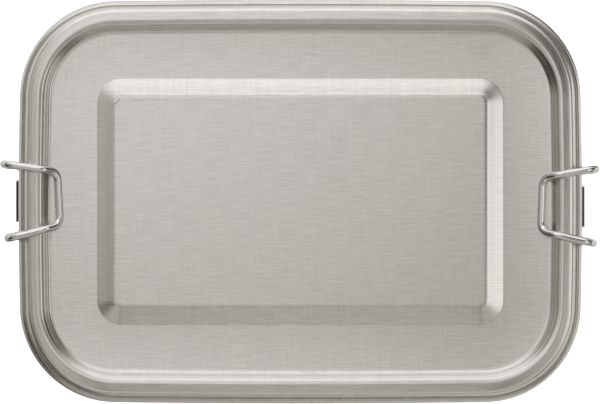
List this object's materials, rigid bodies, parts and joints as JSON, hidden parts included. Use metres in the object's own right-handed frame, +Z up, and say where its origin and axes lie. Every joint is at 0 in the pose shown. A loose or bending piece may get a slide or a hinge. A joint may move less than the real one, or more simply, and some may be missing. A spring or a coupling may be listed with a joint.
{
  "type": "lunch box",
  "caption": "Rectangular steel lunch box with rounded corners, a lift-off lid with a raised panel and a soft seal, and a swinging wire clip at each end.",
  "frame": {"origin": "middle of the box's footprint, on the surface it stands on", "axes": "+Z up, X along the box from clip to clip, Y across it"},
  "size_m": [0.1917, 0.1292, 0.0611],
  "materials": {
    "lid_steel": "fine straight brushing along the box",
    "tub_steel": "satin drawn steel, brushed round the wall",
    "clip_wire": "polished stainless spring wire",
    "bracket_steel": "pressed sheet, spot-welded",
    "seal": "soft matt silicone"
  },
  "bodies": {
    "tub": {"tub": "tub_steel", "bracket_left": "bracket_steel", "bracket_right": "bracket_steel"},
    "lid": {"lid": "lid_steel", "lid_seal": "seal"},
    "clip_left": {"clip_left": "clip_wire"},
    "clip_right": {"clip_right": "clip_wire"}
  },
  "joints": [
    {"name": "lid_lift", "type": "slide", "parent": "tub", "child": "lid", "axis": [0, 0, 1], "range_m": [0, 0.01]},
    {"name": "clip_left_swing", "type": "hinge", "parent": "tub", "child": "clip_left", "pos_m": [-0.0889, 0.0004, 0.0492], "axis": [0, -1, 0], "range_deg": [0, 150]},
    {"name": "clip_right_swing", "type": "hinge", "parent": "tub", "child": "clip_right", "pos_m": [0.0889, -0.0013, 0.0492], "axis": [0, 1, 0], "range_deg": [0, 150]}
  ],
  "couplings": [
    {"joint": "clip_left_swing", "follows": "lid_lift", "rad_per_m": 261.79},
    {"joint": "clip_right_swing", "follows": "lid_lift", "rad_per_m": 261.79}
  ]
}
